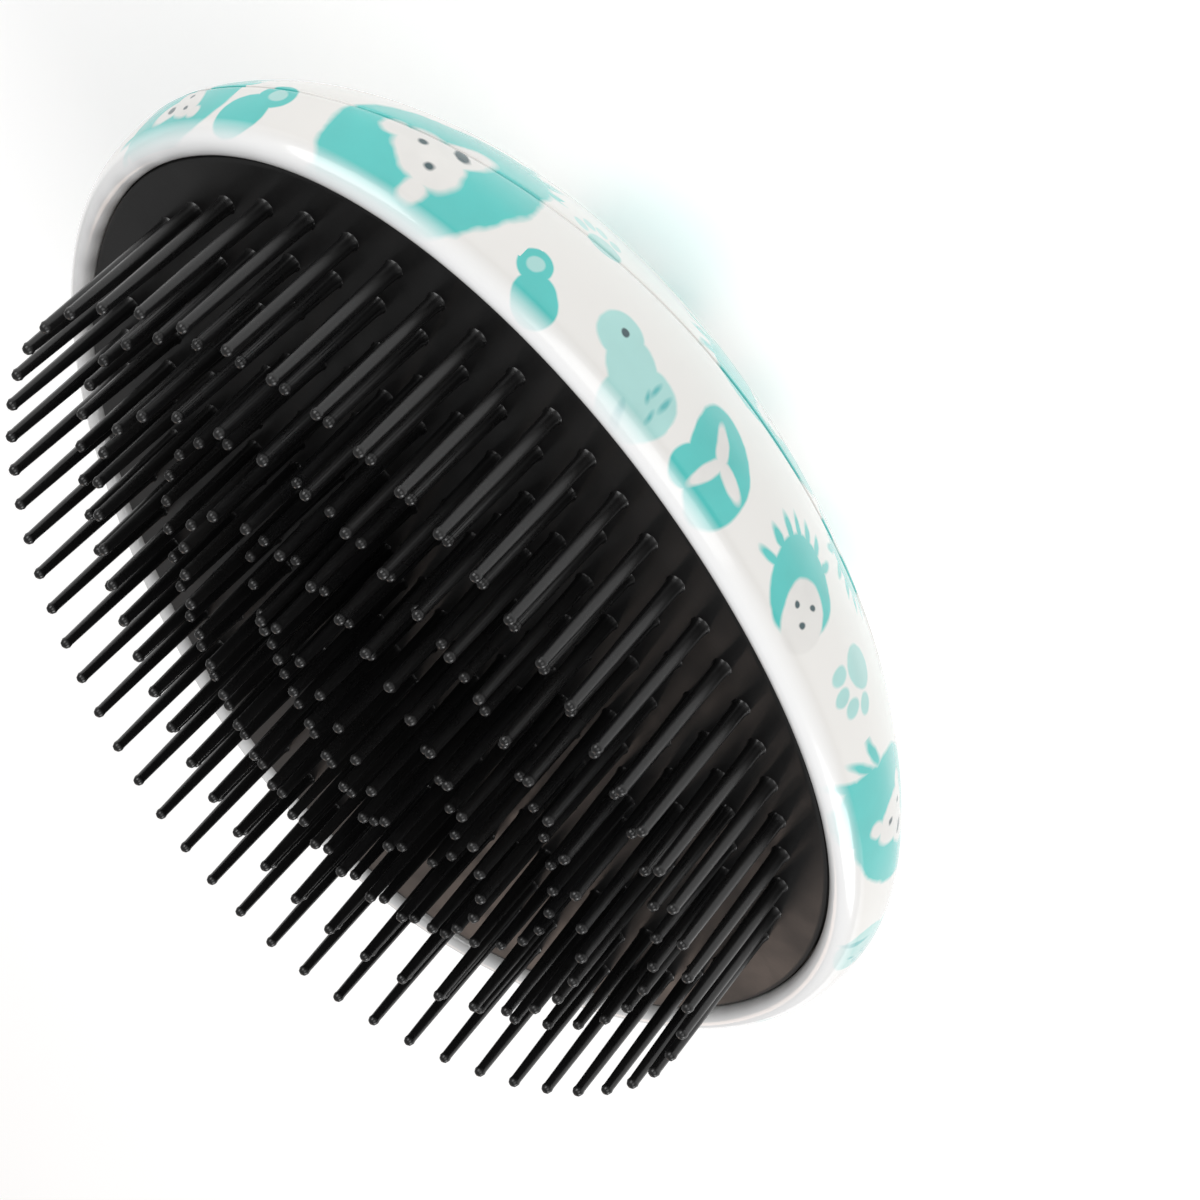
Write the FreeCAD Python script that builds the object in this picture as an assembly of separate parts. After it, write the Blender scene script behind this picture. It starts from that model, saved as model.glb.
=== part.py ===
"""Palm-held detangling brush: a domed two-part shell, an elastomer pad in its mouth and
rings of long and short bristles that bend lengthwise.

X runs along the brush, towards its blunt end, Y across it and Z up, the way the bristles point.
The origin is under the middle of the brush, on the small flat of the dome that it rests on.
"""
import FreeCAD, Part
import math
import os

# ---- driving dimensions, in millimetres ----
# plan of the brush: an egg, measured at the edge of the black pad
pad_length = 95.0
pad_width = 72.4
fullness = 0.035            # 0 is an ellipse, more is squarer
egg_taper = 0.14            # how much wider the +X half is than the -X half

# shell
shell_depth = 32.6          # from the pad's face down to the crown
shell_overhang = 3.6        # how far the shell's widest line stands outside the pad
widest_drop = 4.9           # from the pad's face down to that widest line
dome_power = 1.48           # 2 is a round dome, less is a slacker one
crown_share = 0.2           # the crown's flat, as a share of the shell's plan
wall = 2.0
lip_rise = 0.8              # the rounded lip stands this far proud of the pad
lip_crest = 1.5             # from the pad's edge out to the lip's crest
lip_thickness = 2.0
ledge_width = 4.0           # shelf inside the lip that carries the backing plate
ledge_thickness = 2.0

# parting line between the rim band and the palm cover
seam_drop_middle = 15.5     # below the pad's face, at mid length
seam_drop_end = 5.0         # the same at both ends
tongue_height = 2.2
tongue_thickness = 1.2

# pad and backing plate
pad_thickness = 3.2
flange_width = 1.5          # pad's hidden flange, tucked under the lip
plate_thickness = 2.6
rib_height = 3.5
rib_thickness = 1.4
rib_spacing_x = 19.0
rib_spacing_y = 20.0
rib_margin = 1.0            # the ribs stop this far inside the ledge

# four self-tapping screws that clamp plate, band and cover together
screw_x = 29.0
screw_y = 17.0
screw_radius = 1.25
screw_length = 11.0
head_radius = 2.6
head_height = 1.3
post_radius = 3.2
post_clearance = 0.3

# bristles
long_bristle = 15.9
short_bristle = 12.5
root_radius = 0.75
neck_radius = 0.5
tip_radius = 0.56
first_ring_inset = 4.4      # from the pad's edge to the outermost ring
ring_spacing = 5.0
ring_count = 7              # long and short rings take turns, long ones outermost
outer_rings = 3             # the rings with the wider pitch
outer_pitch = 4.3           # from bristle to bristle along an outer ring
inner_pitch = 3.5           # along the rest
fewest_bristles = 4         # in the smallest ring
row_pitch = 4.6             # bristles bend in rows of this width
root_gap = 0.75             # leaves room for a row to lean over the pad

fit_clearance = 0.1         # between parts that drop into each other
overcut = 1.0               # cutting tools run this far past what they cut

# ---- worked out from the above ----
half_length = pad_length / 2
half_width = pad_width / 2
pad_face = shell_depth
lip_under = pad_face + lip_rise - lip_thickness
pad_under = pad_face - pad_thickness
plate_under = pad_under - plate_thickness
ledge_under = plate_under - ledge_thickness
widest = pad_face - widest_drop
outline_points = 36
lip_sections = 5
dome_sections = 12
profile_steps = 240
reach = pad_length          # larger than any half size, for cutting tools


def egg(length, width, height):
    """Closed smooth curve of the brush's plan, from its half length and half width."""
    points = []
    for step in range(outline_points):
        turn = 2 * math.pi * step / outline_points
        along = math.cos(turn) * (1 + fullness * math.sin(turn) ** 2)
        across = math.sin(turn) * (1 + fullness * math.cos(turn) ** 2)
        y = width * across * (1 + egg_taper * along)
        points.append(FreeCAD.Vector(length * along, y, height))
    curve = Part.BSplineCurve()
    even = [step / outline_points for step in range(outline_points + 1)]
    curve.interpolate(Points=points, PeriodicFlag=True, Parameters=even)
    return Part.Wire([curve.toShape()])


def egg_slab(offset, low, high):
    """Upright slab whose plan is the pad's edge moved outwards by offset."""
    face = Part.Face(egg(half_length + offset, half_width + offset, low))
    return face.extrude(FreeCAD.Vector(0, 0, high - low))


def even_steps(profile, count):
    """Points at even distances along a profile given as a list of (outward, height) pairs."""
    travelled = [0.0]
    for before, after in zip(profile, profile[1:]):
        travelled.append(travelled[-1] + math.dist(before, after))
    chosen = [profile[0]]
    for step in range(1, count):
        target = travelled[-1] * step / count
        nearest = min(range(len(profile)), key=lambda index: abs(travelled[index] - target))
        chosen.append(profile[nearest])
    return chosen + [profile[-1]]


def dome(inset):
    """Solid dome from the crown's flat up to the widest line, inset from the outer surface."""
    wide_length = half_length + shell_overhang - inset
    wide_width = half_width + shell_overhang - inset
    profile = []
    for step in range(profile_steps, -1, -1):
        turn = 0.5 * math.pi * step / profile_steps
        share = crown_share + (1 - crown_share) * math.cos(turn) ** (2 / dome_power)
        height = widest - (widest - inset) * math.sin(turn) ** (2 / dome_power)
        profile.append((wide_length * share, height))
    sections = []
    for outward, height in even_steps(profile, dome_sections):
        sections.append(egg(outward, wide_width * outward / wide_length, height))
    return Part.makeLoft(sections, True, False)


def lip():
    """Rounded upper edge of the shell, from the widest line up and over to the lip's crest."""
    sections = []
    for step in range(lip_sections + 1):
        turn = 0.5 * math.pi * step / lip_sections
        outward = shell_overhang - (shell_overhang - lip_crest) * (1 - math.cos(turn))
        height = widest + (widest_drop + lip_rise) * math.sin(turn)
        sections.append(egg(half_length + outward, half_width + outward, height))
    return Part.makeLoft(sections, True, False)


def above_seam(raised):
    """Everything above the parting line, or above a line raised that far over it."""
    end_x = half_length + shell_overhang
    end_z = pad_face - seam_drop_end + raised
    middle_z = pad_face - seam_drop_middle + raised
    rise = seam_drop_middle - seam_drop_end
    radius = (end_x ** 2 + rise ** 2) / (2 * rise)
    far_z = middle_z + radius - math.sqrt(radius ** 2 - reach ** 2)
    left = FreeCAD.Vector(-reach, -reach, far_z)
    middle = FreeCAD.Vector(0, -reach, middle_z)
    right = FreeCAD.Vector(reach, -reach, far_z)
    top_right = FreeCAD.Vector(reach, -reach, 2 * reach)
    top_left = FreeCAD.Vector(-reach, -reach, 2 * reach)
    edges = [
        Part.Arc(left, middle, right).toShape(),
        Part.makeLine(right, top_right),
        Part.makeLine(top_right, top_left),
        Part.makeLine(top_left, left),
    ]
    return Part.Face(Part.Wire(edges)).extrude(FreeCAD.Vector(0, 2 * reach, 0))


def screw_places():
    """Centres of the four screws, in plan."""
    return [(x, y) for x in (-screw_x, screw_x) for y in (-screw_y, screw_y)]


def upright(radius, x, y, low, high):
    """Upright cylinder."""
    return Part.makeCylinder(radius, high - low, FreeCAD.Vector(x, y, low))


def make_shell():
    """The whole shell before it is parted: wall, lip, and the stepped ledge inside the lip."""
    hollow = dome(wall).common(egg_slab(shell_overhang, 0, ledge_under))
    shell = dome(0).fuse(lip()).cut(hollow)
    shell = shell.cut(egg_slab(-ledge_width, ledge_under - overcut, plate_under))
    shell = shell.cut(egg_slab(-fit_clearance, plate_under, pad_under))
    shell = shell.cut(egg_slab(flange_width + fit_clearance, pad_under, lip_under))
    return shell.cut(egg_slab(fit_clearance, lip_under, pad_face + reach))


def make_rim_band(shell):
    """Upper ring of the shell, with the white lip round the pad. Its ledge makes way for the posts."""
    band = shell.common(above_seam(0))
    for x, y in screw_places():
        band = band.cut(upright(post_radius + fit_clearance, x, y, ledge_under - overcut, plate_under))
    return band


def make_palm_cover(shell):
    """Domed lower shell that fills the palm, with its locating tongue and four screw posts."""
    cover = shell.cut(above_seam(0))
    mid_wall = dome(wall / 2)
    tongue_out = dome(wall + fit_clearance)
    tongue_in = dome(wall + fit_clearance + tongue_thickness)
    under_ledge = egg_slab(shell_overhang, 0, ledge_under - fit_clearance)
    strip = above_seam(-tongue_height).common(under_ledge)
    ring = tongue_out.cut(tongue_in).common(strip).cut(above_seam(tongue_height))
    root = mid_wall.cut(tongue_in).common(strip).cut(above_seam(-fit_clearance))
    cover = cover.fuse([ring, root])
    for x, y in screw_places():
        post = upright(post_radius, x, y, 0, plate_under).common(mid_wall)
        cover = cover.fuse(post)
    for x, y in screw_places():
        pilot_low = pad_under - head_height - screw_length - post_clearance
        cover = cover.cut(upright(screw_radius, x, y, pilot_low, plate_under))
    return cover.removeSplitter()


def make_backing_plate():
    """Stiff ribbed plate behind the pad, with recesses for the screw heads."""
    plate = egg_slab(-2 * fit_clearance, plate_under, pad_under)
    rib_low = plate_under - rib_height
    rib_field = egg_slab(-ledge_width - rib_margin, rib_low, plate_under)
    long_rib = Part.makeBox(2 * reach, rib_thickness, rib_height)
    cross_rib = Part.makeBox(rib_thickness, 2 * reach, rib_height)
    ribs = []
    for place in (-0.5, 0.5):
        rib = long_rib.copy()
        rib.translate(FreeCAD.Vector(-reach, place * rib_spacing_y - rib_thickness / 2, rib_low))
        ribs.append(rib.common(rib_field))
    for place in (-1, 0, 1):
        rib = cross_rib.copy()
        rib.translate(FreeCAD.Vector(place * rib_spacing_x - rib_thickness / 2, -reach, rib_low))
        ribs.append(rib.common(rib_field))
    plate = plate.fuse(ribs)
    for x, y in screw_places():
        plate = plate.cut(upright(screw_radius + fit_clearance, x, y, rib_low, pad_under))
        recess_low = pad_under - head_height - fit_clearance
        plate = plate.cut(upright(head_radius + fit_clearance, x, y, recess_low, pad_under))
    return plate.removeSplitter()


def make_screws():
    """Four self-tapping screws, each a flat head on a plain shank."""
    screws = []
    for x, y in screw_places():
        under_head = pad_under - head_height - fit_clearance
        head = upright(head_radius, x, y, under_head, under_head + head_height)
        shank = upright(screw_radius, x, y, under_head - screw_length, under_head)
        screws.append(head.fuse(shank))
    return Part.makeCompound(screws)


def make_pad():
    """Elastomer pad: the face that shows, and a wider flange held under the lip."""
    face = egg_slab(0, pad_under, pad_face)
    flange = egg_slab(flange_width, pad_under, lip_under - fit_clearance)
    return face.fuse(flange).removeSplitter()


def make_bristle(length):
    """One bristle at the origin: a slim taper with a small ball tip."""
    ball_centre = length - tip_radius
    rod = Part.makeCone(root_radius, neck_radius, ball_centre - root_gap,
                        FreeCAD.Vector(0, 0, root_gap))
    ball = Part.makeSphere(tip_radius, FreeCAD.Vector(0, 0, ball_centre))
    return rod.fuse(ball)


def ring_places(ring):
    """Evenly spaced bristle places round one ring, in plan."""
    inset = first_ring_inset + ring * ring_spacing
    length = half_length - inset
    width = half_width - inset
    curve = egg(length, width, 0).Edges[0]
    pitch = outer_pitch if ring < outer_rings else inner_pitch
    count = max(fewest_bristles, round(curve.Length / pitch))
    return curve.discretize(count + 1)[:-1]


def bristle_rows():
    """Bristles sorted into rows across the brush, each row with its own bending axis."""
    last_row = math.ceil((half_length - first_ring_inset) / row_pitch - 0.5)
    rows = {row: [] for row in range(-last_row, last_row + 1)}
    for ring in range(ring_count):
        bristle = make_bristle(long_bristle if ring % 2 == 0 else short_bristle)
        for place in ring_places(ring):
            row = max(-last_row, min(last_row, round(place.x / row_pitch)))
            copy = bristle.copy()
            copy.translate(FreeCAD.Vector(place.x, place.y, pad_face))
            rows[row].append(copy)
    return {row + last_row + 1: Part.makeCompound(rods) for row, rods in rows.items()}


def main():
    """Build every piece and write one file for each."""
    os.makedirs("parts", exist_ok=True)
    shell = make_shell()
    pieces = {
        "rim_band": make_rim_band(shell),
        "palm_cover": make_palm_cover(shell),
        "backing_plate": make_backing_plate(),
        "plate_screws": make_screws(),
        "bristle_pad": make_pad(),
    }
    for row, rods in bristle_rows().items():
        pieces[f"bristle_row_{row:02d}"] = rods
    for name, shape in pieces.items():
        shape.exportStep(f"parts/{name}.step")
        box = shape.BoundBox
        print(f"{name}: {len(shape.Solids)} solids, valid {shape.isValid()}, "
              f"{shape.Volume:.0f} mm3, X {box.XMin:.2f} {box.XMax:.2f}, "
              f"Y {box.YMin:.2f} {box.YMax:.2f}, Z {box.ZMin:.2f} {box.ZMax:.2f}")


main()
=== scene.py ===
import math

import bpy
import numpy as np
from mathutils import Matrix, Vector


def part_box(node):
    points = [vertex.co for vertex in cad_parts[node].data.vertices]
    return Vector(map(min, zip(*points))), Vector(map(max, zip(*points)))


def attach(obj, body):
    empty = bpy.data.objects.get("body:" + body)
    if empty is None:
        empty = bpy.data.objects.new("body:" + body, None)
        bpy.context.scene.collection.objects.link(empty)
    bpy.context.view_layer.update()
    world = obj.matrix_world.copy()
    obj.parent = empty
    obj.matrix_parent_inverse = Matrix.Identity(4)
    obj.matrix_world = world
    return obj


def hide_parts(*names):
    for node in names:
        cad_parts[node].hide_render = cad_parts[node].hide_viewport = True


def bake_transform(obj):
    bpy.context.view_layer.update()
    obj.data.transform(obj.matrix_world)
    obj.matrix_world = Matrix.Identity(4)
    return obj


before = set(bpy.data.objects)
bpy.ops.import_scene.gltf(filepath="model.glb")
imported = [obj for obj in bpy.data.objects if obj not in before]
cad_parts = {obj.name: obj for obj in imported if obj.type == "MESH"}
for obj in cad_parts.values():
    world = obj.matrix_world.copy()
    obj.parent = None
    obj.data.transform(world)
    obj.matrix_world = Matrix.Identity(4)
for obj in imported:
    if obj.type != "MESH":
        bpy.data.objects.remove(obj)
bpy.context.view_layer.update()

mm = 0.001
print("frame loaded")


# small helpers used by every piece

def pickOnly(piece):
    if bpy.context.object and bpy.context.object.mode != "OBJECT":
        bpy.ops.object.mode_set(mode="OBJECT")
    bpy.ops.object.select_all(action="DESELECT")
    piece.select_set(True)
    bpy.context.view_layer.objects.active = piece


def applyModifier(piece, kind, **settings):
    pickOnly(piece)
    modifier = piece.modifiers.new(kind.title(), kind)
    for name, value in settings.items():
        setattr(modifier, name, value)
    bpy.ops.object.modifier_apply(modifier=modifier.name)


def selectVertices(piece, isWanted):    # leaves the piece in edit mode with only those picked
    pickOnly(piece)
    bpy.ops.object.mode_set(mode="EDIT")
    bpy.ops.mesh.select_mode(type="VERT")
    bpy.ops.mesh.select_all(action="DESELECT")
    bpy.ops.object.mode_set(mode="OBJECT")
    for vertex in piece.data.vertices:
        vertex.select = isWanted(vertex.co)
    bpy.ops.object.mode_set(mode="EDIT")
    bpy.ops.mesh.select_mode(type="EDGE")


def tidyMesh(piece):                    # merged, faces outwards, smooth, named like the piece
    pickOnly(piece)
    bpy.ops.object.mode_set(mode="EDIT")
    bpy.ops.mesh.select_all(action="SELECT")
    bpy.ops.mesh.remove_doubles(threshold=0.004 * mm)
    bpy.ops.mesh.normals_make_consistent(inside=False)
    bpy.ops.object.mode_set(mode="OBJECT")
    bpy.ops.object.shade_smooth_by_angle(angle=math.radians(40))
    piece.data.name = piece.name


# the brush's plan: an egg, blunt at +X

outline = {
    "points": 144,              # round the brush
    "handleStretch": 1.06,      # 1 is an ellipse, more is squarer
    "taper": 0.14,              # how much wider the blunt half is
    "flange": 1.5 * mm,         # pad's hidden edge, tucked under the lip
}


def addEggRing(name):           # a unit egg at the origin, as one loop of edges
    bpy.ops.object.select_all(action="DESELECT")
    bpy.ops.curve.primitive_bezier_circle_add(radius=1)
    ring = bpy.context.object
    ring.name = name
    ring.data.resolution_u = outline["points"] // 4
    corners = ring.data.splines[0].bezier_points
    for corner in corners:
        corner.handle_left_type = corner.handle_right_type = "FREE"
    for corner in corners:
        corner.handle_left = corner.co.lerp(corner.handle_left, outline["handleStretch"])
        corner.handle_right = corner.co.lerp(corner.handle_right, outline["handleStretch"])
    bpy.ops.object.convert(target="MESH")
    ring = bpy.context.object
    applyModifier(ring, "SIMPLE_DEFORM", deform_method="TAPER", deform_axis="X", factor=2 * outline["taper"])
    return ring


probe = addEggRing("probe")
eggPeak = max(vertex.co.y for vertex in probe.data.vertices)
bpy.data.objects.remove(probe)
padLow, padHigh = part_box("bristle_pad")
halfLength = (padHigh.x - padLow.x) / 2 - outline["flange"]
halfWidth = padHigh.y / eggPeak - outline["flange"]
padFace = padHigh.z


def moved(offset, z):           # plan section: the pad's edge moved outwards, at a height, in mm
    return halfLength + offset * mm, halfWidth + offset * mm, z * mm


def placeRing(ring, section):   # the first ring of a loft
    length, width, z = section
    pickOnly(ring)
    bpy.ops.object.mode_set(mode="EDIT")
    bpy.ops.mesh.select_all(action="SELECT")
    bpy.ops.transform.resize(value=(length, width, 1), center_override=(0, 0, 0))
    bpy.ops.transform.translate(value=(0, 0, z))


def loftOn(previous, sections):  # extrudes the picked ring through the sections, in edit mode
    for section in sections:
        rise = section[2] - previous[2]
        bpy.ops.mesh.extrude_region_move(TRANSFORM_OT_translate={"value": (0, 0, rise)})
        grow = (section[0] / previous[0], section[1] / previous[1], 1)
        bpy.ops.transform.resize(value=grow, center_override=(0, 0, 0))
        previous = section


# shell: one skin from the lip over the dome to the crown, then parted in two

shell = {
    "overhang": 3.6,            # widest line outside the pad's edge, mm
    "widestDrop": 4.9,
    "domePower": 1.48,
    "crownShare": 0.2,
    "wall": 2.0,
    "lipRise": 0.8,
    "lipCrest": 1.5,
    "partingMiddle": 15.5,      # parting line below the pad's face, at mid length
    "partingEnd": 5.0,          # and at both ends
    "partingBevel": 0.2,
    "partingGap": 0.16,         # the two mouldings don't quite meet
    # inside of the band, as offset from the pad's edge and height over its face, from the crest inwards
    "innerLip": [(0.1, -1.2), (0.1, -0.35), (0.2, 0.1), (0.45, 0.48), (0.9, 0.72)],
    # lip groove, plate seat, ledge and inner wall
    "seat": [(1.6, -1.2), (1.6, -3.2), (-0.1, -3.2), (-0.1, -5.8), (-4.0, -5.8), (-4.0, -7.8), (1.2, -8.0)],
    "wallShare": 0.42,          # where along the skin the band's inner wall ends
    "bandRows": 12,
    "coverRows": 26,
}
faceZ = padFace / mm
crestZ = faceZ + shell["lipRise"]
widestZ = faceZ - shell["widestDrop"]


def shellProfile():             # share along and section, closely spaced, from the lip's crest to the crown
    steps = 400
    rows = []
    for step in range(steps + 1):
        turn = 0.5 * math.pi * (1 - step / steps)
        offset = shell["overhang"] - (shell["overhang"] - shell["lipCrest"]) * (1 - math.cos(turn))
        z = widestZ + (shell["widestDrop"] + shell["lipRise"]) * math.sin(turn)
        rows.append((halfLength + offset * mm, halfWidth + offset * mm, z * mm))
    widest = rows[-1]
    for step in range(1, steps + 1):
        turn = 0.5 * math.pi * step / steps
        power = 2 / shell["domePower"]
        share = shell["crownShare"] + (1 - shell["crownShare"]) * abs(math.cos(turn)) ** power
        z = widestZ * (1 - math.sin(turn) ** power)
        rows.append((widest[0] * share, widest[1] * share, z * mm))
    rows = np.array(rows)
    strides = np.linalg.norm(np.diff(rows[:, [0, 2]], axis=0), axis=1)
    along = np.concatenate([[0], np.cumsum(strides)])
    return along / along[-1], rows


profileAlong, profileRows = shellProfile()


def shellAt(along):             # section of the skin at a share of the way from crest to crown
    return tuple(float(np.interp(along, profileAlong, profileRows[:, part])) for part in range(3))


def partingHeight(x):
    end = halfLength + shell["overhang"] * mm
    rise = (shell["partingMiddle"] - shell["partingEnd"]) * mm
    radius = (end ** 2 + rise ** 2) / (2 * rise)
    return padFace - shell["partingMiddle"] * mm + radius - math.sqrt(radius ** 2 - x ** 2)


def partingAlong(unitX):        # where a column of the skin meets the parting line
    low, high = 0.0, 1.0
    for _ in range(30):
        middle = (low + high) / 2
        length, _width, z = shellAt(middle)
        if z > partingHeight(unitX * length):
            low = middle
        else:
            high = middle
    return low


def slideToParting(skin):       # slides the even rows along the dome until one of them is the parting line
    rowCount = shell["bandRows"] + shell["coverRows"]
    evenRows = [shellAt(row / rowCount) for row in range(rowCount + 1)]
    heights = np.array([row[2] for row in evenRows])
    found = {}
    for vertex in skin.data.vertices:
        if not 1e-6 <= vertex.co.z <= crestZ * mm - 1e-6 or vertex.index < skin["lipVertices"]:
            continue
        row = int(np.argmin(abs(heights - vertex.co.z)))
        unitX = vertex.co.x / evenRows[row][0]
        unitY = vertex.co.y / evenRows[row][1]
        key = round(unitX, 4)
        if key not in found:
            found[key] = partingAlong(unitX)
        parting = found[key]
        if row <= shell["bandRows"]:
            along = parting * row / shell["bandRows"]
        else:
            along = parting + (1 - parting) * (row - shell["bandRows"]) / shell["coverRows"]
        length, width, z = shellAt(along)
        vertex.co = (unitX * length, unitY * width, z)


def makeSkin():
    innerLip = [moved(offset, faceZ + rise) for offset, rise in shell["innerLip"]]
    rowCount = shell["bandRows"] + shell["coverRows"]
    rows = [shellAt(row / rowCount) for row in range(rowCount + 1)]
    crown = rows[-1]
    flat = [(crown[0] * share, crown[1] * share, crown[2]) for share in (0.75, 0.45, 0.15)]
    skin = addEggRing("skin")
    placeRing(skin, innerLip[0])
    loftOn(innerLip[0], innerLip[1:] + rows[:1])
    bpy.ops.object.mode_set(mode="OBJECT")
    skin["lipVertices"] = len(skin.data.vertices) - outline["points"]
    bpy.ops.object.mode_set(mode="EDIT")
    loftOn(rows[0], rows[1:] + flat)
    bpy.ops.mesh.merge(type="CENTER")
    bpy.ops.object.mode_set(mode="OBJECT")
    slideToParting(skin)
    return skin


def partSkin(skin):             # marks the parting edges, then splits the cover off
    for edge in skin.data.edges:
        ends = [skin.data.vertices[index].co for index in edge.vertices]
        edge.use_seam = all(abs(end.z - partingHeight(end.x)) < 0.01 * mm for end in ends)
    above = [face.center.z > partingHeight(face.center.x) for face in skin.data.polygons]
    pickOnly(skin)
    bpy.ops.object.mode_set(mode="EDIT")
    bpy.ops.mesh.select_mode(type="FACE")
    bpy.ops.mesh.select_all(action="DESELECT")
    bpy.ops.object.mode_set(mode="OBJECT")
    for face, isAbove in zip(skin.data.polygons, above):
        face.select = not isAbove
    bpy.ops.object.mode_set(mode="EDIT")
    bpy.ops.mesh.separate(type="SELECTED")
    bpy.ops.object.mode_set(mode="OBJECT")
    cover = [piece for piece in bpy.context.selected_objects if piece is not skin][0]
    skin.name, cover.name = "rimBand", "palmCover"
    return skin, cover


def softenParting(piece, drawBack):     # a small round along the parting edge, which is drawn back a little
    pickOnly(piece)
    bpy.ops.object.mode_set(mode="EDIT")
    bpy.ops.mesh.select_mode(type="EDGE")
    bpy.ops.mesh.select_all(action="DESELECT")
    bpy.ops.object.mode_set(mode="OBJECT")
    for edge in piece.data.edges:
        edge.select = edge.use_seam
    bpy.ops.object.mode_set(mode="EDIT")
    bpy.ops.transform.translate(value=(0, 0, drawBack))
    bpy.ops.mesh.bevel(offset=shell["partingBevel"] * mm, segments=2)
    bpy.ops.object.mode_set(mode="OBJECT")


def finishBand(band):           # gets its inside, closed along the parting line
    wallEnd = shellAt(shell["wallShare"])
    wall = shell["wall"] * mm
    inside = [moved(offset, faceZ + rise) for offset, rise in shell["seat"]]
    inside.append((wallEnd[0] - wall, wallEnd[1] - wall, padFace - shell["partingMiddle"] * mm))
    offset, rise = shell["innerLip"][0]
    start = moved(offset, faceZ + rise)
    selectVertices(band, lambda place: abs(place.z - start[2]) < 1e-6 and isOnRing(place, start))
    loftOn(start, inside)
    bpy.ops.object.mode_set(mode="OBJECT")
    for vertex in band.data.vertices:       # nothing of the band hangs below the parting line
        vertex.co.z = max(vertex.co.z, partingHeight(vertex.co.x))
    pickOnly(band)
    bpy.ops.object.mode_set(mode="EDIT")
    bpy.ops.mesh.select_mode(type="EDGE")
    bpy.ops.mesh.select_all(action="DESELECT")
    bpy.ops.mesh.select_non_manifold()
    bpy.ops.mesh.bridge_edge_loops()
    bpy.ops.object.mode_set(mode="OBJECT")
    softenParting(band, 0.5 * shell["partingGap"] * mm)
    applyModifier(band, "SUBSURF", levels=1, render_levels=1)
    tidyMesh(band)


def isOnRing(place, section):
    return abs(math.hypot(place.x / section[0], place.y / section[1]) - 1) < 0.2


def finishCover(cover):
    applyModifier(cover, "SOLIDIFY", thickness=shell["wall"] * mm, offset=-1, use_even_offset=True)
    softenParting(cover, -0.5 * shell["partingGap"] * mm)
    applyModifier(cover, "SUBSURF", levels=1, render_levels=1)
    tidyMesh(cover)


rimBand, palmCover = partSkin(makeSkin())
finishBand(rimBand)
finishCover(palmCover)
print("shell made:", len(rimBand.data.polygons), "and", len(palmCover.data.polygons), "faces")


# elastomer pad

pad = {
    "thickness": 3.2,
    "flangeTop": 1.3,           # below the face
    "edgeRound": 0.25,
}


def makePad():
    edge = pad["edgeRound"]
    flange = outline["flange"] / mm
    bottom = faceZ - pad["thickness"]
    flangeTop = faceZ - pad["flangeTop"]
    sections = [moved(flange, bottom), moved(flange, flangeTop), moved(0, flangeTop),
                moved(0, faceZ - 2 * edge), moved(0, faceZ - edge), moved(-0.3 * edge, faceZ - 0.3 * edge),
                moved(-edge, faceZ), moved(-2 * edge, faceZ), moved(-3, faceZ)]
    inner = sections[-1]
    sections += [(inner[0] * share, inner[1] * share, inner[2]) for share in (0.8, 0.6, 0.4, 0.2, 0.05)]
    piece = addEggRing("bristlePad")
    placeRing(piece, sections[0])
    bpy.ops.mesh.edge_face_add()
    loftOn(sections[0], sections[1:])
    bpy.ops.mesh.merge(type="CENTER")
    bpy.ops.object.mode_set(mode="OBJECT")
    tidyMesh(piece)
    return piece


bristlePad = makePad()
print("pad made:", len(bristlePad.data.polygons), "faces")


# bristles: one rod of each length, copied to the places of the CAD rods

bristle = {
    "sides": 10,
    "collar": 0.95,             # radii in mm, from the foot up
    "root": 0.75,
    "neck": 0.5,
    "ball": 0.56,
    "collarRise": 0.7,
    "apart": 1.2,               # rods' centres are further apart than this
}


def makeRod(name, length):
    ball = bristle["ball"]
    ballCentre = length - ball
    rise = bristle["collarRise"]
    rings = [(0.82, 0.15), (bristle["root"], rise), (bristle["neck"], ballCentre - 0.62 * ball),
             (0.93 * ball, ballCentre - 0.3 * ball), (ball, ballCentre + 0.05 * ball),
             (0.74 * ball, ballCentre + 0.68 * ball), (0.3 * ball, ballCentre + 0.95 * ball)]
    bpy.ops.object.select_all(action="DESELECT")
    bpy.ops.mesh.primitive_circle_add(vertices=bristle["sides"], radius=bristle["collar"] * mm)
    rod = bpy.context.object
    rod.name = name
    bpy.ops.object.mode_set(mode="EDIT")
    bpy.ops.mesh.select_all(action="SELECT")
    bpy.ops.transform.translate(value=(0, 0, -0.02 * mm))
    previous = (bristle["collar"] * mm, bristle["collar"] * mm, -0.02 * mm)
    loftOn(previous, [(radius * mm, radius * mm, z * mm) for radius, z in rings])
    bpy.ops.mesh.edge_face_add()
    bpy.ops.object.mode_set(mode="OBJECT")
    tidyMesh(rod)
    return rod


def rodPlaces(node):            # foot centre and length of every rod in a CAD row
    low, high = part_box(node)
    corners = [vertex.co.copy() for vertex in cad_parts[node].data.vertices]
    feet = []
    for corner in corners:
        if corner.z > low.z + 0.01 * mm:
            continue
        near = [foot for foot in feet
                if (foot["sum"] / foot["count"] - corner).length < bristle["apart"] * mm]
        if near:
            near[0]["sum"] += corner
            near[0]["count"] += 1
        else:
            feet.append({"sum": corner.copy(), "count": 1})
    places = []
    for foot in feet:
        centre = foot["sum"] / foot["count"]
        tops = [corner.z for corner in corners if (corner.xy - centre.xy).length < bristle["apart"] * mm]
        places.append((centre.x, centre.y, max(tops) - padFace))
    return places


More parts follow.
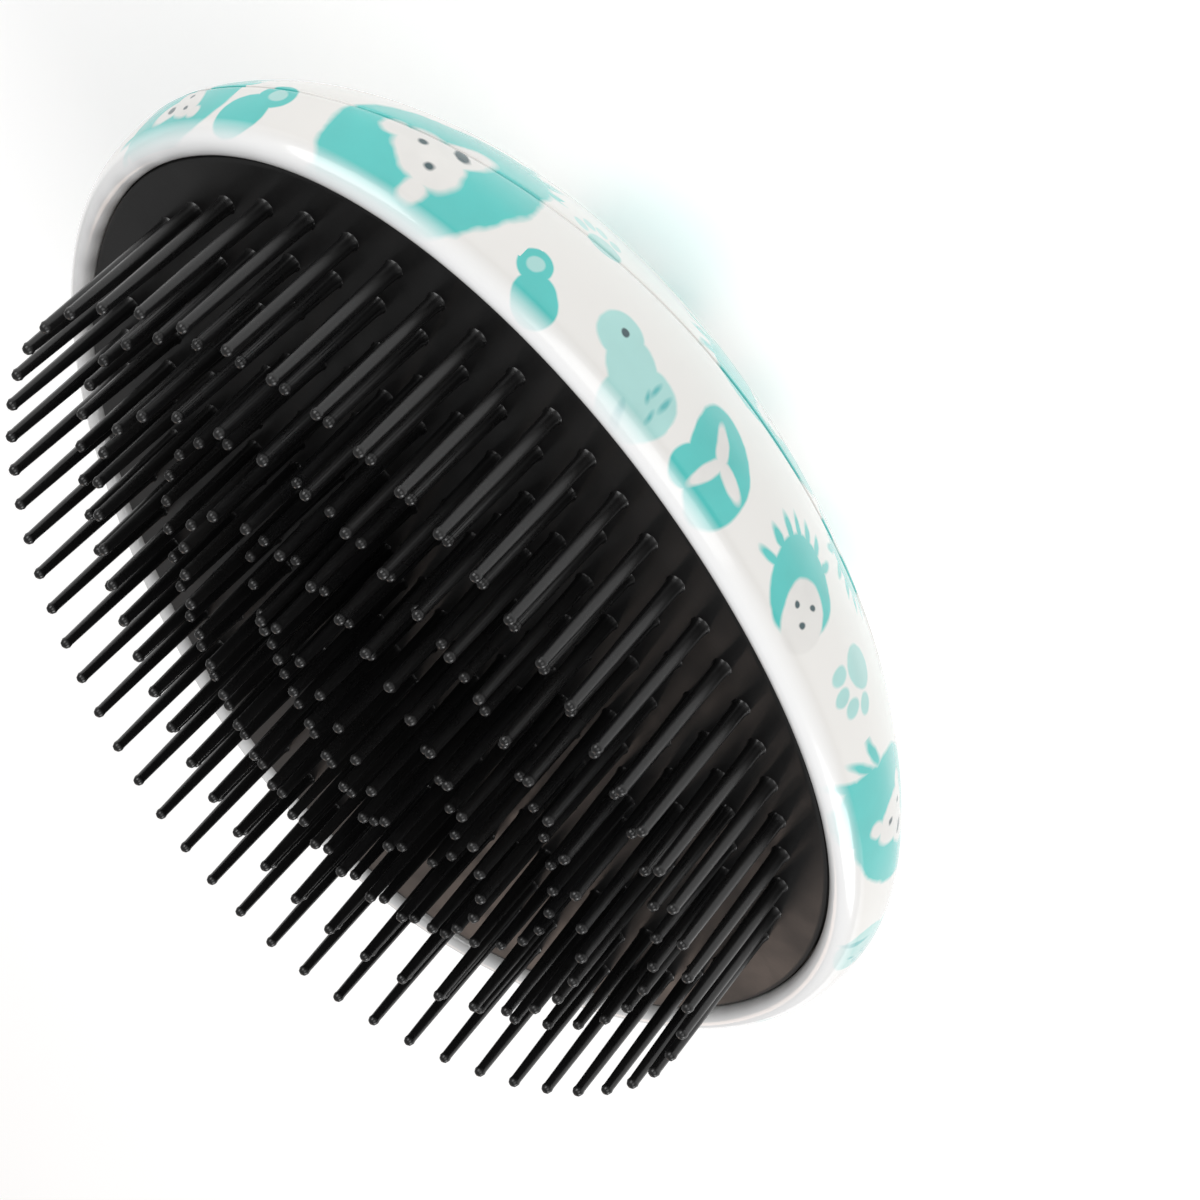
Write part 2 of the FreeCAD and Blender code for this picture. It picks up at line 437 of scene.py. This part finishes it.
def makeRow(node, rods):
    pieces = []
    for x, y, length in rodPlaces(node):
        key = round(length / mm, 1)
        if key not in rods:
            rods[key] = makeRod(f"rod{len(rods)}", length / mm)
        copy = rods[key].copy()
        copy.data = rods[key].data.copy()
        copy.data.transform(Matrix.Translation((x, y, padFace)))
        bpy.context.scene.collection.objects.link(copy)
        pieces.append(copy)
    pickOnly(pieces[0])
    for piece in pieces:
        piece.select_set(True)
    bpy.ops.object.join()
    row = bpy.context.object
    row.name = node.replace("bristle_row_", "bristleRow")
    row.data.name = row.name
    return row


rods = {}
rowNodes = [node for node in sorted(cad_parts) if node.startswith("bristle_row_")]
bristleRows = {node: makeRow(node, rods) for node in rowNodes}
for rod in rods.values():
    bpy.data.objects.remove(rod)
print("bristles made:", len(bristleRows), "rows")


# materials

def newMaterial(name, roughness, **sockets):
    material = bpy.data.materials.new(name)
    material.use_nodes = True
    shader = material.node_tree.nodes["Principled BSDF"]
    shader.inputs["Roughness"].default_value = roughness
    for socket, value in sockets.items():
        shader.inputs[socket.replace("_", " ")].default_value = value
    return material, material.node_tree, shader


def addNode(tree, kind, **settings):
    node = tree.nodes.new(kind)
    for name, value in settings.items():
        setattr(node, name, value)
    return node


def addNoise(tree, vector, scale, detail=3.0):
    noise = addNode(tree, "ShaderNodeTexNoise")
    noise.inputs["Scale"].default_value = scale
    noise.inputs["Detail"].default_value = detail
    tree.links.new(vector, noise.inputs["Vector"])
    return noise.outputs["Fac"]


def addRamp(tree, factor, low, high, fromLow=0.3, fromHigh=0.7):
    ramp = addNode(tree, "ShaderNodeMapRange")
    for name, value in (("From Min", fromLow), ("From Max", fromHigh), ("To Min", low), ("To Max", high)):
        ramp.inputs[name].default_value = value
    tree.links.new(factor, ramp.inputs["Value"])
    return ramp.outputs["Result"]


def addMix(tree, factor, below, above):
    mix = addNode(tree, "ShaderNodeMix", data_type="RGBA")
    for socket, value in ((mix.inputs[6], below), (mix.inputs[7], above)):
        if isinstance(value, tuple):
            socket.default_value = (*value, 1)
        else:
            tree.links.new(value, socket)
    tree.links.new(factor, mix.inputs[0])
    return mix.outputs[2]


def addBump(tree, shader, height, strength, distance):
    bump = addNode(tree, "ShaderNodeBump")
    bump.inputs["Strength"].default_value = strength
    bump.inputs["Distance"].default_value = distance
    tree.links.new(height, bump.inputs["Height"])
    tree.links.new(bump.outputs["Normal"], shader.inputs["Normal"])


# the print: each motif is a few ovals drawn in its own tile, in half-widths of the motif
# an oval is (across, up, half width, half height, turn in degrees)
printInks = {
    "ground": (0.70, 0.685, 0.66),
    "white": (0.93, 0.935, 0.94),
    "pale": (0.36, 0.62, 0.59),
    "teal": (0.075, 0.50, 0.47),
    "accent": (0.10, 0.42, 0.42),
    "dark": (0.035, 0.075, 0.085),
}
tilePitch = 8.0                 # room between tiles, in half-widths
fadeBand = {"bottom": 31.6, "top": 33.5}        # the print thins to plain white over these heights, mm
motifs = {
    "patch": {
        "teal": [(0.0, 0.0, 0.78, 0.62, 0), (0.42, 0.22, 0.5, 0.42, 20), (-0.45, -0.15, 0.5, 0.42, 15),
                 (0.93, 0.1, 0.2, 0.05, 25), (0.9, 0.3, 0.2, 0.06, 40), (0.93, -0.08, 0.2, 0.06, -5),
                 (-0.93, -0.2, 0.2, 0.06, 20), (-0.9, -0.4, 0.22, 0.06, 45), (-0.95, -0.02, 0.18, 0.05, -8)],
        "white": [(0.05, 0.02, 0.22, 0.32, 8), (-0.16, -0.02, 0.3, 0.15, 14), (0.2, 0.3, 0.1, 0.1, 0),
                  (0.2, -0.27, 0.1, 0.1, 0)],
        "dark": [(0.06, 0.12, 0.035, 0.035, 0), (0.06, -0.12, 0.035, 0.035, 0),
                 (-0.2, -0.02, 0.055, 0.07, 0)],
    },
    "chick": {
        "teal": [(0.0, -0.25, 0.5, 0.62, 0), (0.08, 0.5, 0.4, 0.4, 0)],
        "pale": [(0.1, 0.52, 0.2, 0.18, 0)],
    },
    "seal": {
        "wash": [(0.0, 0.55, 0.34, 0.34, 0), (0.0, 0.1, 0.36, 0.5, 0), (-0.06, -0.35, 0.56, 0.5, 10)],
        "accent": [(0.24, -0.25, 0.11, 0.035, 30), (0.3, -0.45, 0.12, 0.04, 30), (0.1, -0.3, 0.07, 0.03, 60),
                   (0.05, -0.55, 0.08, 0.03, 40), (-0.38, -0.5, 0.24, 0.06, 65)],
        "dark": [(0.06, 0.55, 0.06, 0.06, 0)],
    },
    "coin": {
        "teal": [(0.0, 0.0, 0.6, 0.98, 0), (-0.5, -0.2, 0.34, 0.34, 0)],
        "white": [(0.0, 0.3, 0.12, 0.38, 0), (0.2, -0.18, 0.12, 0.36, 42), (-0.2, -0.18, 0.12, 0.36, -42)],
    },
    "hedgehog": {
        "teal": [(0.0, 0.1, 0.62, 0.72, 0), (0.45, 0.75, 0.07, 0.22, -30), (0.2, 0.85, 0.07, 0.22, -12),
                 (-0.05, 0.88, 0.07, 0.22, 5), (-0.3, 0.8, 0.07, 0.22, 22), (-0.52, 0.62, 0.07, 0.22, 42),
                 (0.62, 0.5, 0.07, 0.22, -55), (-0.66, 0.35, 0.07, 0.22, 62)],
        "white": [(0.05, -0.28, 0.38, 0.5, 0)],
        "dark": [(0.2, -0.15, 0.045, 0.045, 0), (-0.1, -0.15, 0.045, 0.045, 0), (0.05, -0.4, 0.06, 0.045, 0)],
    },
    "paw": {
        "wash": [(0.0, -0.2, 0.42, 0.36, 0), (-0.45, 0.25, 0.15, 0.2, 20), (-0.16, 0.5, 0.15, 0.2, 5),
                 (0.18, 0.5, 0.15, 0.2, -5), (0.46, 0.25, 0.15, 0.2, -20)],
    },
}
layerOrder = [("wash", "pale"), ("teal", "teal"), ("white", "ground"), ("pale", "pale"), ("accent", "accent"),
              ("dark", "dark")]


def addOvals(tree, tile, ovals, softness):      # how far inside the nearest oval, as a mask from 0 to 1
    nearest = None
    for column, (across, up, wide, tall, turn) in ovals:
        place = addNode(tree, "ShaderNodeMapping", vector_type="TEXTURE")
        place.inputs["Location"].default_value = (column * tilePitch + across, up, 0)
        place.inputs["Rotation"].default_value = (0, 0, math.radians(turn))
        place.inputs["Scale"].default_value = (wide, tall, 1)
        tree.links.new(tile, place.inputs["Vector"])
        reach = addNode(tree, "ShaderNodeVectorMath", operation="LENGTH")
        tree.links.new(place.outputs["Vector"], reach.inputs[0])
        depth = addNode(tree, "ShaderNodeMath", operation="MULTIPLY_ADD")
        depth.inputs[1].default_value = min(wide, tall)
        depth.inputs[2].default_value = -min(wide, tall)
        tree.links.new(reach.outputs["Value"], depth.inputs[0])
        if nearest is None:
            nearest = depth.outputs["Value"]
        else:
            lower = addNode(tree, "ShaderNodeMath", operation="MINIMUM")
            tree.links.new(nearest, lower.inputs[0])
            tree.links.new(depth.outputs["Value"], lower.inputs[1])
            nearest = lower.outputs["Value"]
    return addRamp(tree, nearest, 1, 0, -softness, softness)


def makePrintedShell():
    material, tree, shader = newMaterial("printedShell", 0.16, Coat_Weight=0.35, Coat_Roughness=0.06)
    places = addNode(tree, "ShaderNodeTexCoord")
    uv = addNode(tree, "ShaderNodeUVMap", uv_map="printTiles")
    wobble = addNode(tree, "ShaderNodeTexNoise")
    wobble.inputs["Scale"].default_value = 420
    wobble.inputs["Detail"].default_value = 2
    tree.links.new(places.outputs["Object"], wobble.inputs["Vector"])
    shift = addNode(tree, "ShaderNodeVectorMath", operation="MULTIPLY_ADD")
    shift.inputs[1].default_value = (0.09, 0.09, 0)
    shift.inputs[2].default_value = (-0.045, -0.045, 0)
    tree.links.new(wobble.outputs["Color"], shift.inputs[0])
    tile = addNode(tree, "ShaderNodeVectorMath", operation="ADD")
    tree.links.new(uv.outputs["UV"], tile.inputs[0])
    tree.links.new(shift.outputs["Vector"], tile.inputs[1])
    colour = printInks["ground"]
    patches = addNoise(tree, places.outputs["Object"], 160, 4)
    for layer, ink in layerOrder:
        ovals = [(column, oval) for column, motif in enumerate(motifs.values())
                 for oval in motif.get(layer, [])]
        softness = 0.012 if layer == "dark" else 0.022
        mask = addOvals(tree, tile.outputs["Vector"], ovals, softness)
        deeper = tuple(0.88 * part for part in printInks[ink])
        tone = addMix(tree, addRamp(tree, patches, 0, 1), printInks[ink], deeper)
        colour = addMix(tree, mask, colour, tone)
    split = addNode(tree, "ShaderNodeSeparateXYZ")
    tree.links.new(places.outputs["Object"], split.inputs["Vector"])
    fade = addRamp(tree, split.outputs["Z"], 0, 1, fadeBand["bottom"] * mm, fadeBand["top"] * mm)
    colour = addMix(tree, fade, colour, printInks["white"])
    tree.links.new(colour, shader.inputs["Base Color"])
    handling = addNoise(tree, places.outputs["Object"], 55, 5)
    tree.links.new(addRamp(tree, handling, 0.12, 0.24), shader.inputs["Roughness"])
    addBump(tree, shader, addNoise(tree, places.outputs["Object"], 260, 2), 0.12, 0.00004)
    return material


def makeElastomer(name, lift, gloss, smooth, rough):
    material, tree, shader = newMaterial(name, rough, Specular_IOR_Level=gloss)
    places = addNode(tree, "ShaderNodeTexCoord")
    cloud = addNoise(tree, places.outputs["Object"], 70, 5)
    black = (0.0075 * lift, 0.0075 * lift, 0.0080 * lift)
    bloom = (0.0125 * lift, 0.0120 * lift, 0.0118 * lift)
    tree.links.new(addMix(tree, addRamp(tree, cloud, 0, 1), black, bloom), shader.inputs["Base Color"])
    smear = addNoise(tree, places.outputs["Object"], 220, 6)
    tree.links.new(addRamp(tree, smear, smooth, rough), shader.inputs["Roughness"])
    addBump(tree, shader, addNoise(tree, places.outputs["Object"], 2600, 2), 0.25, 0.00002)
    return material


def makeInnerPlastic():
    material, tree, shader = newMaterial("innerPlastic", 0.55)
    places = addNode(tree, "ShaderNodeTexCoord")
    cloud = addNoise(tree, places.outputs["Object"], 40, 4)
    tree.links.new(addMix(tree, cloud, (0.66, 0.65, 0.62), (0.74, 0.73, 0.70)), shader.inputs["Base Color"])
    addBump(tree, shader, addNoise(tree, places.outputs["Object"], 1800, 2), 0.2, 0.00002)
    return material


def makeScrewSteel():
    material, tree, shader = newMaterial("screwSteel", 0.34, Metallic=1.0)
    places = addNode(tree, "ShaderNodeTexCoord")
    grain = addNoise(tree, places.outputs["Object"], 900, 6)
    tree.links.new(addMix(tree, grain, (0.50, 0.50, 0.49), (0.66, 0.66, 0.68)), shader.inputs["Base Color"])
    tree.links.new(addRamp(tree, grain, 0.26, 0.42), shader.inputs["Roughness"])
    return material


# laying the print on the shell

# kind, angle round the shell from the blunt end, height, size (half width), turn; degrees and mm
printPlaces = [
    ("patch", 156.4, 27.0, 12.2, 50), ("chick", 141.3, 31.0, 3.8, -138), ("seal", 127.7, 29.5, 6.2, -120),
    ("coin", 114.0, 28.6, 5.5, -148), ("hedgehog", 94.6, 28.3, 6.2, -139), ("paw", 140.3, 19.7, 4.2, -135),
    ("patch", 108, 13.4, 10.5, 10), ("chick", 174, 30.0, 4.2, 150), ("patch", 183, 29.5, 7.0, 200),
    ("paw", 80, 27.0, 5.0, 20), ("patch", 60, 26.5, 9.2, 10), ("seal", 42, 28.5, 6.0, 190),
    ("coin", 22, 27.0, 6.6, 160), ("hedgehog", 2, 26.0, 6.6, 180), ("paw", -16, 27.0, 5.0, -20),
    ("patch", -38, 26.0, 9.2, 5), ("chick", -56, 29.5, 3.8, 20), ("seal", -69, 28.0, 6.2, 170),
    ("coin", -85, 27.4, 6.0, 150), ("hedgehog", -102, 27.5, 5.6, 190), ("patch", -124, 26.5, 9.2, 186),
    ("chick", -140, 30.0, 3.8, 0), ("coin", -152, 26.5, 5.6, 30), ("hedgehog", -166, 25.5, 5.4, 175),
    ("paw", 160, 13.0, 5.5, 40), ("coin", 136, 8.5, 6.2, 20), ("hedgehog", 88, 16.0, 6.4, 20),
    ("seal", 68, 14.5, 6.8, 40), ("patch", 44, 13.5, 8.4, 15), ("chick", 26, 17.0, 4.4, 60),
    ("seal", 6, 14.0, 6.8, 100), ("patch", -18, 13.0, 8.4, -10), ("coin", -40, 12.0, 6.4, -40),
    ("paw", -58, 16.0, 5.0, 10), ("hedgehog", -72, 13.5, 6.6, 0), ("patch", -96, 12.5, 8.4, 10),
    ("seal", -120, 13.5, 6.6, -40), ("chick", -136, 17.0, 4.2, 30), ("paw", -150, 13.0, 5.4, 60),
    ("seal", 178, 13.0, 6.4, -90), ("hedgehog", 60, 4.0, 6.6, 80), ("paw", 100, 3.8, 6.0, 0),
    ("patch", 150, 3.0, 10.0, 90), ("coin", 10, 3.5, 6.6, 45), ("seal", -50, 3.5, 6.8, -60),
    ("hedgehog", -110, 3.5, 6.6, 10), ("patch", -160, 3.0, 9.5, -80), ("paw", -10, 0.2, 5.5, 0),
]


def motifFrame(centres, normals, angle, height):   # nearest face of the skin, and its directions round and up
    angles = np.degrees(np.arctan2(centres[:, 1], centres[:, 0]))
    turn = (angles - angle + 180) % 360 - 180
    reach = np.hypot(centres[:, 0], centres[:, 1])
    outwards = (normals[:, :2] * centres[:, :2]).sum(1) > 0.2 * reach
    under = (normals[:, 2] < -0.7) & (centres[:, 2] < 2 * mm)
    gap = np.where(outwards | under, np.hypot(np.radians(turn) * reach, centres[:, 2] - height * mm), 1)
    nearest = int(np.argmin(gap))
    normal = normals[nearest]
    around = np.cross((0, 0, 1.0), (math.cos(math.radians(angle)), math.sin(math.radians(angle)), 0))
    around -= normal * (around @ normal)
    around /= np.linalg.norm(around)
    return centres[nearest], around, np.cross(normal, around)


def layPrint(pieces):           # every face takes the tile of the motif that it is nearest to
    kinds = list(motifs)
    allCentres, allNormals = [], []
    for piece in pieces:
        count = len(piece.data.polygons)
        centres, normals = np.zeros(count * 3), np.zeros(count * 3)
        piece.data.polygons.foreach_get("center", centres)
        piece.data.polygons.foreach_get("normal", normals)
        allCentres.append(centres.reshape(-1, 3))
        allNormals.append(normals.reshape(-1, 3))
    centres, normals = np.concatenate(allCentres), np.concatenate(allNormals)
    frames = [motifFrame(centres, normals, angle, height)
              for _kind, angle, height, _size, _turn in printPlaces]
    for piece, faceCentres, faceNormals in zip(pieces, allCentres, allNormals):
        mesh = piece.data
        gaps = np.stack([np.linalg.norm(faceCentres - place, axis=1) / entry[3]
                         for (place, _around, _up), entry in zip(frames, printPlaces)])
        chosen = np.argmin(gaps, axis=0)
        turnedIn = (faceNormals[:, :2] * faceCentres[:, :2]).sum(1) < 0
        chosen[turnedIn] = -1                   # plain
        starts = np.zeros(len(mesh.polygons), int)
        totals = np.zeros(len(mesh.polygons), int)
        mesh.polygons.foreach_get("loop_start", starts)
        mesh.polygons.foreach_get("loop_total", totals)
        cornerVertex = np.zeros(len(mesh.loops), int)
        mesh.loops.foreach_get("vertex_index", cornerVertex)
        corners = np.zeros(len(mesh.vertices) * 3)
        mesh.vertices.foreach_get("co", corners)
        corners = corners.reshape(-1, 3)[cornerVertex]
        faceOfCorner = np.repeat(np.arange(len(mesh.polygons)), totals)
        motifOfCorner = chosen[faceOfCorner]
        tiles = np.full((len(mesh.loops), 2), -0.5 * tilePitch)
        for index, (entry, (place, around, up)) in enumerate(zip(printPlaces, frames)):
            kind, _angle, _height, size, turn = entry
            picked = motifOfCorner == index
            offset = corners[picked] - place
            flat = np.stack([offset @ around, offset @ up], axis=1)
            stretch = np.linalg.norm(offset, axis=1) / np.maximum(np.linalg.norm(flat, axis=1), 1e-9)
            flat *= np.minimum(stretch, 1.5)[:, None] / (size * mm)
            cosine, sine = math.cos(math.radians(turn)), math.sin(math.radians(turn))
            flat = flat @ np.array([[cosine, -sine], [sine, cosine]])
            tiles[picked] = np.clip(flat, -3.5, 3.5) + (tilePitch * kinds.index(kind), 0)
        layer = mesh.uv_layers.new(name="printTiles")
        layer.data.foreach_set("uv", tiles.ravel())


layPrint([rimBand, palmCover])
printedShell = makePrintedShell()
padBlack = makeElastomer("padBlack", 0.55, 0.4, 0.28, 0.42)
bristleBlack = makeElastomer("bristleBlack", 0.6, 0.5, 0.22, 0.36)
innerPlastic = makeInnerPlastic()
screwSteel = makeScrewSteel()


def dress(piece, material):
    piece.data.materials.clear()
    piece.data.materials.append(material)


dress(rimBand, printedShell)
dress(palmCover, printedShell)
dress(bristlePad, padBlack)
for row in bristleRows.values():
    dress(row, bristleBlack)
for node, material in (("backing_plate", innerPlastic), ("plate_screws", screwSteel)):
    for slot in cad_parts[node].material_slots:
        slot.material = material
print("materials made")


# the shell and pad ride with the handle's body; the bristle rows keep their places

for piece, node, slotName in ((rimBand, "rim_band", "printed_shell"),
                              (palmCover, "palm_cover", "printed_shell"),
                              (bristlePad, "bristle_pad", "elastomer")):
    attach(piece, "handle")
    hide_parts(node)
for node, row in bristleRows.items():
    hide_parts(node)
    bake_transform(row)


# floor, lights and camera

studio = {
    "floorSize": 3.0,
    "world": 0.42,
    "lightsAt": (0, 0, 0.03),               # m
    "cameraFrom": (-112.2, 159.35, 156.6),   # mm
    "cameraAt": (-4.4, 21.7, 32.6),
    "cameraRoll": -138.5,                   # degrees
    "lens": 77.4,
}


# name, place, size, watts, colour
softLights = [
    ("keyLight", (-0.55, 0.05, 0.32), 0.35, 1.5, (1, 1, 1)),
    ("padLight", (0.51, -0.46, 0.4), 0.22, 0.3, (1.0, 0.74, 0.6)),
    ("endLight", (0.6, 0.3, 0.35), 0.35, 2.4, (1, 1, 1)),
    ("fillLight", (-0.1, 0.6, 0.5), 0.5, 1.5, (1, 1, 1)),
]


def makeFloor():
    bpy.ops.object.select_all(action="DESELECT")
    bpy.ops.mesh.primitive_plane_add(size=studio["floorSize"])
    floor = bpy.context.object
    floor.name = "floor"
    material, tree, shader = newMaterial("paleFloor", 0.8, Emission_Strength=0.29)
    places = addNode(tree, "ShaderNodeTexCoord")
    cloud = addNoise(tree, places.outputs["Object"], 12, 3)
    tree.links.new(addMix(tree, cloud, (0.88, 0.88, 0.88), (0.90, 0.90, 0.90)), shader.inputs["Base Color"])
    floor.data.materials.append(material)


def addSoftLight(name, place, size, watts, colour):
    bpy.ops.object.light_add(type="AREA", location=place)
    light = bpy.context.object
    light.name = name
    light.data.size = size
    light.data.energy = watts
    light.data.color = colour
    light.rotation_euler = (Vector(studio["lightsAt"]) - Vector(place)).to_track_quat("-Z", "Y").to_euler()


def makeCamera():
    place = Vector(studio["cameraFrom"]) * mm
    aim = Vector(studio["cameraAt"]) * mm
    bpy.ops.object.camera_add(location=place)
    camera = bpy.context.object
    level = (aim - place).to_track_quat("-Z", "Y").to_matrix()
    camera.rotation_euler = (level @ Matrix.Rotation(math.radians(studio["cameraRoll"]), 3, "Z")).to_euler()
    camera.data.lens = studio["lens"]
    camera.data.clip_start = 0.01
    bpy.context.scene.camera = camera


makeFloor()
makeCamera()
for name, *settings in softLights:
    addSoftLight(name, *settings)
world = bpy.data.worlds.new("studioWorld")
world.use_nodes = True
world.node_tree.nodes["Background"].inputs["Color"].default_value = (1, 1, 1, 1)
world.node_tree.nodes["Background"].inputs["Strength"].default_value = studio["world"]
bpy.context.scene.world = world
bpy.context.scene.view_settings.view_transform = "Standard"
print("studio made")
